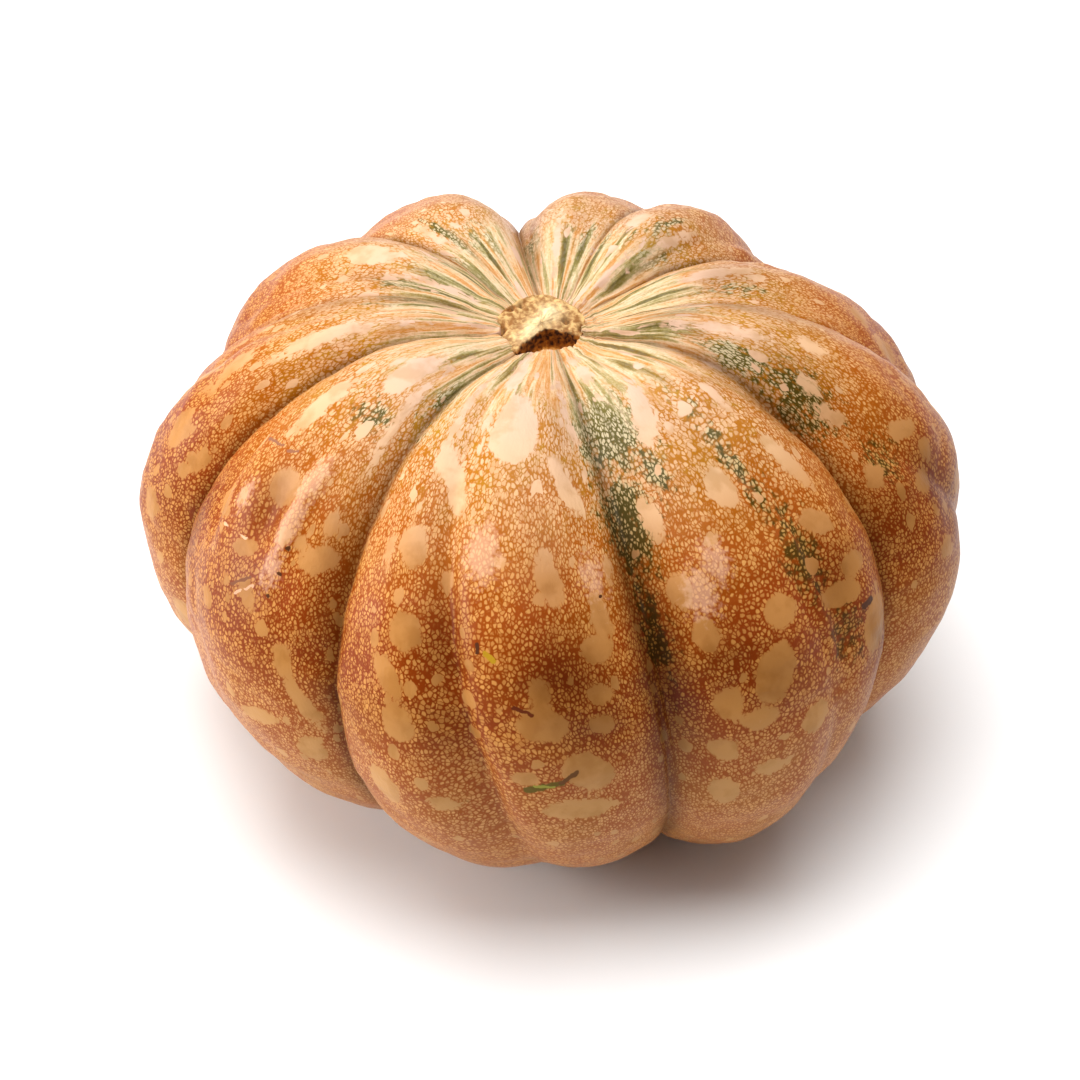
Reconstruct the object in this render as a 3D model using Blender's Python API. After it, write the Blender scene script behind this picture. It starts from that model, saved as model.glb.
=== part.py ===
"""A ribbed pumpkin as picked: the fruit, and the dry stub of its stalk.

Metres, +Z up. The fruit stands on z = 0 with its front towards -Y. Azimuths turn from the front
towards +X, and the polar angle runs down the side from the stalk to the blossom end.
"""
import math
from collections import namedtuple

import bmesh
import bpy
from mathutils import Matrix, Vector

MM = 0.001

# The turned form that the ribs stand on
WIDEST_RADIUS = 130 * MM
CROWN_RISE = 85 * MM        # from the widest ring up to where the crown would close
CROWN_TAPER = 1.05
BASE_DROP = 97 * MM         # from the widest ring down to where the base would close
BASE_FULLNESS = 0.9
CROWN_HOLLOW = 19 * MM      # how far the crown sinks round the stalk
CROWN_HOLLOW_REACH = 38 * MM
BLOSSOM_HOLLOW = 25 * MM    # how far the base rises round the blossom scar
BLOSSOM_HOLLOW_REACH = 42 * MM
BLOSSOM_SCAR_RADIUS = 8 * MM
BLOSSOM_SCAR_DEPTH = 2 * MM
FOOT_FLAT = 2.4 * MM        # how much of the lowest ribs is pressed flat where the fruit rests
LEAN_LEFT = math.radians(1.2)
LEAN_BACK = math.radians(0.8)

# The ribs. Each starts at its own furrow and runs to the next one round. An azimuth is taken at the
# widest ring, and the slant is how far the furrow drifts round for each radian down the side.
Rib = namedtuple("Rib", "azimuth slant furrow_depth bulge shoulder")
RIBS = [
    Rib(-74, 6, 14 * MM, -2 * MM, 3 * MM),
    Rib(-33, 6, 12 * MM, 1 * MM, -1 * MM),
    Rib(15, 4, 10 * MM, 1 * MM, -5 * MM),
    Rib(56, -11, 15 * MM, 0 * MM, 6 * MM),
    Rib(100, 3, 10 * MM, -2 * MM, -4 * MM),
    Rib(136, 5, 17 * MM, -6 * MM, 5 * MM),
    Rib(159, 0, 10 * MM, -2 * MM, -4 * MM),
    Rib(182, -7, 17 * MM, 1 * MM, -1 * MM),
    Rib(217, -7, 8 * MM, 0 * MM, 3 * MM),
    Rib(252, -2, 9 * MM, 3 * MM, 0 * MM),
]
RIB_ROUNDNESS = 0.8         # below 1 the ribs are fuller and the furrows between them sharper
FURROW_FADE = 0.65          # how slowly the furrows run out towards the stalk and the blossom scar

# The shallow crease down the middle of each rib
Crease = namedtuple("Crease", "azimuth slant depth")
CREASES = [
    Crease(-59, 17, 2 * MM),
    Crease(-10, 11, 5 * MM),
    Crease(40, 1, 5 * MM),
    Crease(82, 19, 4 * MM),
    Crease(121, -2, 5 * MM),
    Crease(145, 9, 6 * MM),
    Crease(171, -15, 6 * MM),
    Crease(196, 5, 4 * MM),
    Crease(243, -3, 4 * MM),
    Crease(261, -4, 4 * MM),
]
CREASE_HALF_WIDTH = math.radians(14)

# The pit that the stalk grows from, and the stub that is left in it
STALK_CENTRE = Vector((-2 * MM, 1 * MM))
PIT_RADIUS = 14 * MM
PIT_FLOOR = 60 * MM         # above the widest ring
PIT_FLARE = 1.06            # the mouth is wider than the floor
STUB_GAP = 0.3 * MM
STUB_HEIGHT = 9 * MM
STUB_TAPER = 0.95
STUB_CORNERS = 5
STUB_FIRST_CORNER = math.radians(32)
STUB_CORNER_SHARE = 0.12    # how much narrower the stub is between two corners
STUB_CORNER_RISE = 1.5 * MM
STUB_TORN_SLOPE = math.radians(10)
STUB_TORN_HOLLOW = 5 * MM   # where one corner is torn out, towards the front
STUB_TORN_HOLLOW_REACH = 6 * MM
STUB_TORN_HOLLOW_CENTRE = Vector((5 * MM, -8 * MM))

COLUMNS_PER_RIB = 12
FURROW_CROWDING = 0.5       # 0 spaces the columns evenly across a rib
RINGS = 38
STUB_SIDES = 40
STUB_ROWS = 7
STUB_ROW_WIDTH = 1.6 * MM
SHARP_ANGLE = math.radians(50)


def clear_scene():
    """Start from an empty scene."""
    for old in list(bpy.data.objects):
        bpy.data.objects.remove(old, do_unlink=True)


def material(name, colour, roughness):
    """A plain finish for a grown surface."""
    finish = bpy.data.materials.new(name)
    finish.use_nodes = True
    finish.diffuse_color = (*colour, 1)
    shader = finish.node_tree.nodes["Principled BSDF"]
    shader.inputs["Base Color"].default_value = (*colour, 1)
    shader.inputs["Roughness"].default_value = roughness
    shader.inputs["Metallic"].default_value = 0
    return finish


def bell(distance, reach):
    """1 at the middle, falling smoothly away past the reach."""
    return math.exp(-(distance / reach) ** 2)


def profile(polar):
    """Radius and height of the turned form at a polar angle, with the widest ring at height 0."""
    across = math.sin(polar)
    up = math.cos(polar)
    if up > 0:
        radius = WIDEST_RADIUS * max(across, 0) ** CROWN_TAPER
        return radius, CROWN_RISE * up - CROWN_HOLLOW * bell(radius, CROWN_HOLLOW_REACH)
    radius = WIDEST_RADIUS * max(across, 0)
    hollow = BLOSSOM_HOLLOW * bell(radius, BLOSSOM_HOLLOW_REACH)
    return radius, hollow - BASE_DROP * (-up) ** BASE_FULLNESS


def outward(polar):
    """The direction straight out of the turned form: its share outwards, and its share upwards."""
    step = 0.001
    radius_above, height_above = profile(max(polar - step, 0))
    radius_below, height_below = profile(min(polar + step, math.pi))
    return Vector((height_above - height_below, radius_below - radius_above)).normalized()


def furrow_azimuth(rib, polar):
    """Where a rib's own furrow lies at a polar angle."""
    return math.radians(rib.azimuth + rib.slant * (polar - math.pi / 2))


def crease_depth(azimuth, polar):
    """How far the creases sink the rind at a point."""
    depth = 0
    for crease in CREASES:
        middle = math.radians(crease.azimuth + crease.slant * (polar - math.pi / 2))
        away = abs(math.remainder(azimuth - middle, math.tau)) / CREASE_HALF_WIDTH
        depth += crease.depth * max(0, 1 - away) ** 2
    return depth


def crowd_to_furrows(share):
    """Shift an even share across a rib towards its edges, so that the furrows get more columns."""
    eased = (1 - math.cos(math.pi * share)) / 2
    return share + FURROW_CROWDING * (eased - share)


def rind_point(turns, polar):
    """A point on the fruit: turns counts ribs round from the first furrow."""
    index = int(turns) % len(RIBS)
    share = crowd_to_furrows(turns - int(turns))
    rib = RIBS[index]
    following = RIBS[(index + 1) % len(RIBS)]
    start = furrow_azimuth(rib, polar)
    width = (furrow_azimuth(following, polar) - start) % math.tau
    azimuth = start + share * width
    arch = (4 * share * (1 - share)) ** RIB_ROUNDNESS
    depth = rib.furrow_depth + share * (following.furrow_depth - rib.furrow_depth)
    fade = math.sin(polar) ** FURROW_FADE if 0 < polar < math.pi else 0
    offset = (rib.bulge + rib.shoulder * math.cos(polar)) * math.sin(polar) * arch
    offset -= fade * (depth * (1 - arch) + crease_depth(azimuth, polar))
    radius, height = profile(polar)
    out, up = outward(polar)
    radius += out * offset
    height += up * offset
    return Vector((radius * math.sin(azimuth), -radius * math.cos(azimuth), height))


def add_mesh(name, shape, collection, finish=None):
    """Turn a bmesh into a named object."""
    mesh = bpy.data.meshes.new(name)
    shape.to_mesh(mesh)
    shape.free()
    made = bpy.data.objects.new(name, mesh)
    collection.objects.link(made)
    if finish:
        mesh.materials.append(finish)
    return made


def shape_fruit():
    """The ribbed fruit before its stalk pit is cut, with its widest ring at height 0."""
    shape = bmesh.new()
    columns = COLUMNS_PER_RIB * len(RIBS)
    bmesh.ops.create_uvsphere(shape, u_segments=columns, v_segments=RINGS, radius=1)
    for vertex in shape.verts:
        turns = math.atan2(vertex.co.x, -vertex.co.y) % math.tau / math.tau * len(RIBS)
        vertex.co = rind_point(turns, math.acos(max(-1, min(1, vertex.co.z))))
    lean = Matrix.Rotation(-LEAN_BACK, 3, "X") @ Matrix.Rotation(-LEAN_LEFT, 3, "Y")
    bmesh.ops.rotate(shape, verts=shape.verts, cent=(0, 0, 0), matrix=lean)
    bmesh.ops.recalc_face_normals(shape, faces=shape.faces)
    return shape


def press_feet(shape):
    """Flatten the lowest ribs where the fruit rests."""
    flat = min(vertex.co.z for vertex in shape.verts) + FOOT_FLAT
    for vertex in shape.verts:
        vertex.co.z = max(vertex.co.z, flat)


def add_cutter(name, collection, centre, low, high, low_radius, high_radius):
    """A round plug between two heights, which a Boolean takes out of the fruit."""
    shape = bmesh.new()
    bmesh.ops.create_cone(
        shape, cap_ends=True, segments=STUB_SIDES, depth=high - low,
        radius1=low_radius, radius2=high_radius,
    )
    bmesh.ops.translate(shape, verts=shape.verts, vec=(*centre, (low + high) / 2))
    cutter = add_mesh(name, shape, collection)
    cutter.hide_render = True
    cutter.display_type = "WIRE"
    return cutter


def cut(fruit, cutter):
    """Take a plug out of the fruit."""
    taken = fruit.modifiers.new(cutter.name, "BOOLEAN")
    taken.operation = "DIFFERENCE"
    taken.object = cutter


def shape_stub():
    """The five-cornered stub, with a torn top that slopes to the front and is hollow there."""
    shape = bmesh.new()
    base_radius = PIT_RADIUS - STUB_GAP
    bmesh.ops.create_cone(
        shape, cap_ends=True, segments=STUB_SIDES, depth=STUB_HEIGHT,
        radius1=base_radius, radius2=base_radius * STUB_TAPER,
    )
    top = max(shape.faces, key=lambda face: face.calc_center_median().z)
    for _ in range(STUB_ROWS):
        bmesh.ops.inset_region(shape, faces=[top], thickness=STUB_ROW_WIDTH)
    for vertex in shape.verts:
        spot = vertex.co.xy
        corner = math.cos(STUB_CORNERS * (math.atan2(spot.x, -spot.y) - STUB_FIRST_CORNER))
        spot *= 1 - STUB_CORNER_SHARE * (1 - corner) / 2
        if vertex.co.z > 0:
            torn = bell((spot - STUB_TORN_HOLLOW_CENTRE).length, STUB_TORN_HOLLOW_REACH)
            vertex.co.z += math.tan(STUB_TORN_SLOPE) * spot.y - STUB_TORN_HOLLOW * torn
            vertex.co.z += STUB_CORNER_RISE * corner * spot.length / base_radius
        vertex.co.xy = spot
    seat = PIT_FLOOR + STUB_GAP + STUB_HEIGHT / 2
    bmesh.ops.translate(shape, verts=shape.verts, vec=(*STALK_CENTRE, seat))
    return shape


def shade(made):
    """Smooth shading, apart from the edges that are truly sharp."""
    made.data.shade_smooth()
    made.data.set_sharp_from_angle(angle=SHARP_ANGLE)


def stand_on_floor(objects, fruit):
    """Move the widest ring's frame so that the fruit stands on z = 0, centred over the origin."""
    points = [vertex.co for vertex in fruit.data.vertices]
    low = Vector((min(point[axis] for point in points) for axis in range(3)))
    high = Vector((max(point[axis] for point in points) for axis in range(3)))
    middle = (low + high) / 2
    for made in objects:
        made.location = (-middle.x, -middle.y, -low.z)


def main():
    clear_scene()
    parts = bpy.data.collections.new("pumpkin")
    cutters = bpy.data.collections.new("cutters")
    bpy.context.scene.collection.children.link(parts)
    bpy.context.scene.collection.children.link(cutters)

    rind = material("rind", (0.62, 0.24, 0.05), 0.4)
    dry_stalk = material("dry_stalk", (0.45, 0.28, 0.12), 0.8)

    fruit_shape = shape_fruit()
    press_feet(fruit_shape)
    fruit = add_mesh("fruit", fruit_shape, parts, rind)
    stub = add_mesh("stalk_stub", shape_stub(), parts, dry_stalk)
    pit = add_cutter(
        "stalk_pit", cutters, STALK_CENTRE,
        PIT_FLOOR, CROWN_RISE, PIT_RADIUS, PIT_RADIUS * PIT_FLARE,
    )
    scar_ceiling = profile(math.pi)[1] + BLOSSOM_SCAR_DEPTH
    scar = add_cutter(
        "blossom_scar", cutters, Vector((0, 0)),
        -BASE_DROP, scar_ceiling, BLOSSOM_SCAR_RADIUS, BLOSSOM_SCAR_RADIUS,
    )
    cut(fruit, pit)
    cut(fruit, scar)

    stand_on_floor([fruit, stub, pit, scar], fruit)
    shade(fruit)
    shade(stub)


main()
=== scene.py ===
import math
from collections import namedtuple

import bpy
import numpy as np
from mathutils import Matrix, Vector, noise


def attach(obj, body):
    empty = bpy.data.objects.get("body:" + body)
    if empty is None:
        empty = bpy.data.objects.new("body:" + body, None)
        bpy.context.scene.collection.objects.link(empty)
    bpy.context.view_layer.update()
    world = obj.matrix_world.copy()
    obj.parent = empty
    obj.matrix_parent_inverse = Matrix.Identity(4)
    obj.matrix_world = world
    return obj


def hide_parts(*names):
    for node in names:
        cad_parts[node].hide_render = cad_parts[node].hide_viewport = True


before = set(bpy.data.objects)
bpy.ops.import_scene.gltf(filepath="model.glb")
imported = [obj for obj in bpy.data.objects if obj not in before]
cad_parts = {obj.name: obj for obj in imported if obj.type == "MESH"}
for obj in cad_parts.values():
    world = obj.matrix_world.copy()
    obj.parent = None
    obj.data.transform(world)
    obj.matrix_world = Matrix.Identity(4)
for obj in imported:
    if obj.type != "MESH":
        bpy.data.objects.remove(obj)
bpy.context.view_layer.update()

# The place: a white studio table that runs out of view and glows from a distance on, so the background stays
# white. A big soft light hangs above, a smaller one stands at the left, and pale surroundings shine in from
# behind. The camera looks down at the front of the pumpkin.
MM = 0.001
CAMERA_AIM = Vector((-2.7 * MM, 2.6 * MM, 65.3 * MM))
CAMERA_ELEVATION = math.radians(42.1)
CAMERA_ROLL = math.radians(0.4)
CAMERA_DISTANCE = 0.884
CAMERA_LENS_MM = 90.9
LIGHT_PLACE = Vector((-0.05, 0.0, 1.9))
LIGHT_SIDE = 1.6
LIGHT_WATTS = 50
FILL_PLACE = Vector((-1.6, -0.1, 0.6))
FILL_SIDE = 0.9
FILL_WATTS = 27
SURROUND_COLOUR = (1, 0.99, 0.98, 1)
SURROUND_FRONT = -0.7
SURROUND_FRONT_STRENGTH = 0.03
SURROUND_BACK = 0.5
SURROUND_BACK_STRENGTH = 0.65
TABLE_COLOUR = (0.9, 0.9, 0.9, 1)
TABLE_ROUGHNESS = 0.6
TABLE_SIDE = 60
TABLE_GLOW_COLOUR = (1, 1, 1, 1)
TABLE_GLOW_START = 0.8
TABLE_GLOW_END = 3.0
TABLE_GLOW_STRENGTH = 0.65

bpy.ops.object.select_all(action="DESELECT")
back = Vector((0, -math.cos(CAMERA_ELEVATION), math.sin(CAMERA_ELEVATION)))
bpy.ops.object.camera_add(location=CAMERA_AIM + CAMERA_DISTANCE * back)
camera = bpy.context.object
turn = Matrix.Rotation(math.pi / 2 - CAMERA_ELEVATION, 3, "X") @ Matrix.Rotation(-CAMERA_ROLL, 3, "Z")
camera.rotation_euler = turn.to_euler()
camera.data.lens = CAMERA_LENS_MM
camera.data.dof.use_dof = False
bpy.context.scene.camera = camera
bpy.context.scene.view_settings.view_transform = "Standard"

for name, lamp_place, side, watts in [
    ("soft_light", LIGHT_PLACE, LIGHT_SIDE, LIGHT_WATTS),
    ("left_fill", FILL_PLACE, FILL_SIDE, FILL_WATTS),
]:
    bpy.ops.object.light_add(type="AREA", location=lamp_place)
    lamp = bpy.context.object
    lamp.name = name
    lamp.data.size = side
    lamp.data.energy = watts
    lamp.rotation_euler = lamp_place.to_track_quat("Z", "Y").to_euler()

surround = bpy.data.worlds.new("pale_surround")
surround.use_nodes = True
sky_nodes = surround.node_tree.nodes
sky_links = surround.node_tree.links
sky = sky_nodes["Background"]
sky.inputs["Color"].default_value = SURROUND_COLOUR
sky_direction = sky_nodes.new("ShaderNodeTexCoord")
sky_parts = sky_nodes.new("ShaderNodeSeparateXYZ")
sky_strength = sky_nodes.new("ShaderNodeMapRange")
sky_strength.inputs["From Min"].default_value = SURROUND_FRONT
sky_strength.inputs["From Max"].default_value = SURROUND_BACK
sky_strength.inputs["To Min"].default_value = SURROUND_FRONT_STRENGTH
sky_strength.inputs["To Max"].default_value = SURROUND_BACK_STRENGTH
sky_links.new(sky_direction.outputs["Generated"], sky_parts.inputs[0])
sky_links.new(sky_parts.outputs["Y"], sky_strength.inputs["Value"])
sky_links.new(sky_strength.outputs["Result"], sky.inputs["Strength"])
bpy.context.scene.world = surround

bpy.ops.mesh.primitive_plane_add(size=TABLE_SIDE)
table = bpy.context.object
table.name = "table"
table_finish = bpy.data.materials.new("white_table")
table_finish.use_nodes = True
table_surface = table_finish.node_tree.nodes["Principled BSDF"]
table_surface.inputs["Base Color"].default_value = TABLE_COLOUR
table_surface.inputs["Roughness"].default_value = TABLE_ROUGHNESS
table_surface.inputs["Emission Color"].default_value = TABLE_GLOW_COLOUR
table_place = table_finish.node_tree.nodes.new("ShaderNodeTexCoord")
table_distance = table_finish.node_tree.nodes.new("ShaderNodeVectorMath")
table_distance.operation = "LENGTH"
table_glow = table_finish.node_tree.nodes.new("ShaderNodeMapRange")
table_glow.inputs["From Min"].default_value = TABLE_GLOW_START
table_glow.inputs["From Max"].default_value = TABLE_GLOW_END
table_glow.inputs["To Max"].default_value = TABLE_GLOW_STRENGTH
table_links = table_finish.node_tree.links
table_links.new(table_place.outputs["Object"], table_distance.inputs[0])
table_links.new(table_distance.outputs["Value"], table_glow.inputs["Value"])
table_links.new(table_glow.outputs["Result"], table_surface.inputs["Emission Strength"])
table.data.materials.append(table_finish)


# The fruit: one grown body with ten uneven ribs, a crown sunk round the stalk and a blossom scar below. It
# stands on the feet of its ribs. Its rind is hard and waxy, orange with a net of tan flecks and blotches, and
# streaked green and cream on top.
WIDEST_RADIUS = 130 * MM
CROWN_RISE = 85 * MM
CROWN_TAPER = 1.05
BASE_DROP = 97 * MM
BASE_FULLNESS = 0.9
CROWN_HOLLOW = 19 * MM
CROWN_HOLLOW_REACH = 38 * MM
BLOSSOM_HOLLOW = 25 * MM
BLOSSOM_HOLLOW_REACH = 42 * MM
BLOSSOM_SCAR_RADIUS = 8 * MM
BLOSSOM_SCAR_FLAT_RADIUS = 0.6 * BLOSSOM_SCAR_RADIUS
BLOSSOM_SCAR_DEPTH = 2 * MM
LEAN_LEFT = math.radians(1.2)
LEAN_BACK = math.radians(0.8)
WIDEST_CENTRE = Vector((2.6 * MM, 2.6 * MM, 84.1 * MM))

# The ribs, each with the azimuth of the furrow before it, how many degrees that furrow turns for each radian
# down, its depth, how far the rib bulges, and how much more it does so on top than below.
Rib = namedtuple("Rib", "azimuth slant furrow_depth bulge shoulder")
RIBS = [
    Rib(-74, 6, 14 * MM, -2 * MM, 3 * MM),
    Rib(-33, 6, 12 * MM, 1 * MM, -1 * MM),
    Rib(15, 4, 10 * MM, 1 * MM, -5 * MM),
    Rib(56, -11, 15 * MM, 0 * MM, 6 * MM),
    Rib(100, 3, 10 * MM, -2 * MM, -4 * MM),
    Rib(136, 5, 17 * MM, -6 * MM, 5 * MM),
    Rib(159, 0, 10 * MM, -2 * MM, -4 * MM),
    Rib(182, -7, 17 * MM, 1 * MM, -1 * MM),
    Rib(217, -7, 8 * MM, 0 * MM, 3 * MM),
    Rib(252, -2, 9 * MM, 3 * MM, 0 * MM),
]
RIB_ROUNDNESS = 0.8
FURROW_CROWDING = 0.5
FURROW_FADE = 0.65
CROWN_CALM = 0.8
CROWN_CALM_REACH = math.radians(11)

# A shallower crease within each rib.
Crease = namedtuple("Crease", "azimuth slant depth")
CREASES = [
    Crease(-59, 17, 2 * MM),
    Crease(-10, 11, 5 * MM),
    Crease(40, 1, 5 * MM),
    Crease(82, 19, 4 * MM),
    Crease(121, -2, 5 * MM),
    Crease(145, 9, 6 * MM),
    Crease(171, -15, 6 * MM),
    Crease(196, 5, 4 * MM),
    Crease(243, -3, 4 * MM),
    Crease(261, -4, 4 * MM),
]
CREASE_HALF_WIDTH = math.radians(14)

# Sharper folds within ribs: each falls away slowly on its left and fast on its right, or the other way round.
Fold = namedtuple("Fold", "azimuth slant depth left_width right_width polar half_polar")
FOLDS = [
    Fold(-9.5, 13, 4.5 * MM, 11, 3.5, 72, 34),
    Fold(-54, 22, 3.5 * MM, 10, 4, 54, 13),
    Fold(42, -3, 3 * MM, 3, 12, 64, 24),
    Fold(250, 0, 2.5 * MM, 9, 3, 62, 22),
    Fold(-32.5, 6, 2.5 * MM, 6, 2, 70, 28),
    Fold(16.5, 4, 4.5 * MM, 2.5, 8, 70, 30),
    Fold(57, -8, 3 * MM, 2.5, 8, 70, 30),
]

# Where the rind is pressed in, or swollen where the depth is below 0.
Dent = namedtuple("Dent", "rib share polar half_share half_polar depth")
DENTS = [
    Dent(0, 0.60, 55, 0.08, 6, 3 * MM),
    Dent(0, 0.72, 51, 0.045, 9, -2.2 * MM),
]
LUMP_HEIGHT = 0.9 * MM
LUMP_FREQUENCY = 9
RIPPLE_HEIGHT = 0.35 * MM
RIPPLE_FREQUENCY = 24
CROWN_RIDGE_HEIGHT = 0.8 * MM
CROWN_RIDGE_REACH = math.radians(22)
CROWN_RIDGE_FREQUENCY = 11

STALK_CENTRE = Vector((-4.6 * MM, 0.0 * MM))
PIT_FLOOR = 60 * MM
PIT_RIM_RADIUS = 12.4 * MM
PIT_FRONT_REACH = 9.9 * MM
PIT_FRONT_TURN = math.radians(13)
PIT_LEAST_FACING = 0.1
PIT_WALL = 1.0 * MM

# The mesh: its rows crowd together round the rim of the pit, from 4 to 8 degrees down.
RIND_COLUMNS = 520
RIND_ROWS = 190
ROW_SHARES = [0, 0.03, 0.17, 0.22, 0.94, 1]
ROW_POLAR_DEGREES = [0, 4, 8, 13, 170, 180]
NORMAL_STEP = 0.001


def vertex_places(piece):
    """The places of a piece's vertices, one row for each."""
    places = np.empty(len(piece.data.vertices) * 3)
    piece.data.vertices.foreach_get("co", places)
    return places.reshape(-1, 3)


def bell(distance, reach):
    """1 at the middle, falling smoothly away past the reach."""
    return np.exp(-(distance / reach) ** 2)


def smooth_step(value, low, high):
    """0 below low and 1 above high, with a smooth rise between."""
    risen = np.clip((value - low) / (high - low), 0, 1)
    return risen * risen * (3 - 2 * risen)


def turn_between(first, second):
    """The angle from the second azimuth to the first, the shorter way round."""
    return (first - second + math.pi) % math.tau - math.pi


def profile(angle):
    """Radius and height of the turned form, with the widest ring at height 0."""
    across = np.maximum(np.sin(angle), 0)
    up = np.cos(angle)
    upper = WIDEST_RADIUS * across ** CROWN_TAPER
    lower = WIDEST_RADIUS * across
    crown = CROWN_RISE * np.maximum(up, 0) - CROWN_HOLLOW * bell(upper, CROWN_HOLLOW_REACH)
    drop = BASE_DROP * np.maximum(-up, 0) ** BASE_FULLNESS
    base = BLOSSOM_HOLLOW * bell(lower, BLOSSOM_HOLLOW_REACH) - drop
    return np.where(up > 0, upper, lower), np.where(up > 0, crown, base)


def furrow_azimuth(index, angle):
    """Where a rib's own furrow lies."""
    return np.radians(rib_azimuth[index] + rib_slant[index] * (angle - math.pi / 2))


bpy.ops.object.select_all(action="DESELECT")
bpy.ops.mesh.primitive_uv_sphere_add(segments=RIND_COLUMNS, ring_count=RIND_ROWS, radius=1)
fruit = bpy.context.object
fruit.name = "rind"
ball = vertex_places(fruit)
row_share = np.arccos(np.clip(ball[:, 2], -1, 1)) / math.pi
polar = np.radians(np.interp(row_share, ROW_SHARES, ROW_POLAR_DEGREES))
polar_degrees = np.degrees(polar)
turns = np.arctan2(ball[:, 0], -ball[:, 1]) % math.tau / math.tau * len(RIBS)
rib = turns.astype(int) % len(RIBS)
share = turns - turns.astype(int)
share += FURROW_CROWDING * ((1 - np.cos(math.pi * share)) / 2 - share)
rib_azimuth, rib_slant, rib_furrow_depth, rib_bulge, rib_shoulder = np.array(RIBS).T

following = (rib + 1) % len(RIBS)
rib_start = furrow_azimuth(rib, polar)
rib_width = (furrow_azimuth(following, polar) - rib_start) % math.tau
azimuth = rib_start + share * rib_width
arch = (4 * share * (1 - share)) ** RIB_ROUNDNESS
furrow_depth = rib_furrow_depth[rib] + share * (rib_furrow_depth[following] - rib_furrow_depth[rib])
crease_depth = np.zeros(len(polar))
for crease in CREASES:
    crease_azimuth = np.radians(crease.azimuth + crease.slant * (polar - math.pi / 2))
    away = np.abs(turn_between(azimuth, crease_azimuth)) / CREASE_HALF_WIDTH
    crease_depth += crease.depth * np.maximum(0, 1 - away) ** 2
fade = np.sin(polar) ** FURROW_FADE * (1 - CROWN_CALM * bell(polar, CROWN_CALM_REACH))
offset = (rib_bulge[rib] + rib_shoulder[rib] * np.cos(polar)) * np.sin(polar) * arch
offset -= fade * (furrow_depth * (1 - arch) + crease_depth)

for fold in FOLDS:
    fold_azimuth = np.radians(fold.azimuth + fold.slant * (polar - math.pi / 2))
    away = np.degrees(turn_between(azimuth, fold_azimuth))
    away = np.where(away < 0, -away / fold.left_width, away / fold.right_width)
    reach = bell(((polar_degrees - fold.polar) / fold.half_polar) ** 2, 1)
    offset -= fold.depth * reach * np.maximum(0, 1 - away) ** 2

for dent in DENTS:
    sideways = (share - dent.share) / dent.half_share
    downwards = (polar_degrees - dent.polar) / dent.half_polar
    offset -= dent.depth * bell(np.hypot(sideways, downwards), 1) * (rib == dent.rib)
lumps = np.array([
    noise.noise(way * LUMP_FREQUENCY) * LUMP_HEIGHT + noise.noise(way * RIPPLE_FREQUENCY) * RIPPLE_HEIGHT
    for way in map(Vector, ball)
])
crown_ridges = np.array([
    noise.noise((math.sin(turn) * CROWN_RIDGE_FREQUENCY, math.cos(turn) * CROWN_RIDGE_FREQUENCY, 0))
    for turn in azimuth
])
offset += lumps + CROWN_RIDGE_HEIGHT * crown_ridges * bell(polar, CROWN_RIDGE_REACH)

plain_radius, plain_height = profile(polar)
above_radius, above_height = profile(polar - NORMAL_STEP)
below_radius, below_height = profile(polar + NORMAL_STEP)
normal_out = above_height - below_height
normal_up = below_radius - above_radius
normal_length = np.hypot(normal_out, normal_up)
radius = plain_radius + offset * normal_out / normal_length
height = plain_height + offset * normal_up / normal_length
scar = 1 - smooth_step(radius, BLOSSOM_SCAR_FLAT_RADIUS, BLOSSOM_SCAR_RADIUS)
scar *= polar > math.pi / 2
height += BLOSSOM_SCAR_DEPTH * scar
rind = np.stack([radius * np.sin(azimuth), -radius * np.cos(azimuth), height], axis=1)

lean = Matrix.Rotation(-LEAN_BACK, 3, "X") @ Matrix.Rotation(-LEAN_LEFT, 3, "Y")
rind = rind @ np.array(lean).T

from_stalk = rind[:, :2] - np.array(STALK_CENTRE)
round_stalk = np.arctan2(from_stalk[:, 0], -from_stalk[:, 1])
facing_front = np.maximum(np.cos(round_stalk - PIT_FRONT_TURN), PIT_LEAST_FACING)
pit_radius = np.minimum(PIT_RIM_RADIUS, PIT_FRONT_REACH / facing_front)
stalk_distance = np.hypot(from_stalk[:, 0], from_stalk[:, 1])
in_pit = (1 - smooth_step(stalk_distance, pit_radius - PIT_WALL, pit_radius)) * (rind[:, 2] > 0)
rind[:, 2] += in_pit * (PIT_FLOOR - rind[:, 2])
rind += np.array(WIDEST_CENTRE)
rind[:, 2] = np.maximum(rind[:, 2], 0)
fruit.data.vertices.foreach_set("co", rind.ravel())
bpy.ops.object.shade_smooth()

# How the rind's markings lie: along the ribs from the stalk, narrower beside the furrows.
COLUMN_CROWDING = 0.25
GRAIN_STRETCH = 1.2
CROWN_STRETCH = 2.5
CROWN_STRETCH_REACH = 45 * MM
PROFILE_STEPS = 500

angles = np.linspace(0, math.pi, PROFILE_STEPS)
profile_radius, profile_height = profile(angles)
steps = np.hypot(np.diff(profile_radius), np.diff(profile_height))
from_top = np.concatenate([[0], np.cumsum(steps)])
stretch = GRAIN_STRETCH + CROWN_STRETCH * np.exp(-from_top[1:] / CROWN_STRETCH_REACH)
along = np.interp(polar, angles, np.concatenate([[0], np.cumsum(steps / stretch)]))
crowded = share + COLUMN_CROWDING * np.sin(math.tau * share) / math.tau
mean_width = np.radians(rib_azimuth[following] - rib_azimuth[rib]) % math.tau
rib_turn = np.radians(rib_azimuth[rib]) + crowded * mean_width
grain = np.stack([WIDEST_RADIUS * np.sin(rib_turn), -WIDEST_RADIUS * np.cos(rib_turn), along], axis=1)

# The length of a degree down the rind.
ARC_OF_DEGREE = 1.9 * MM

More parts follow.
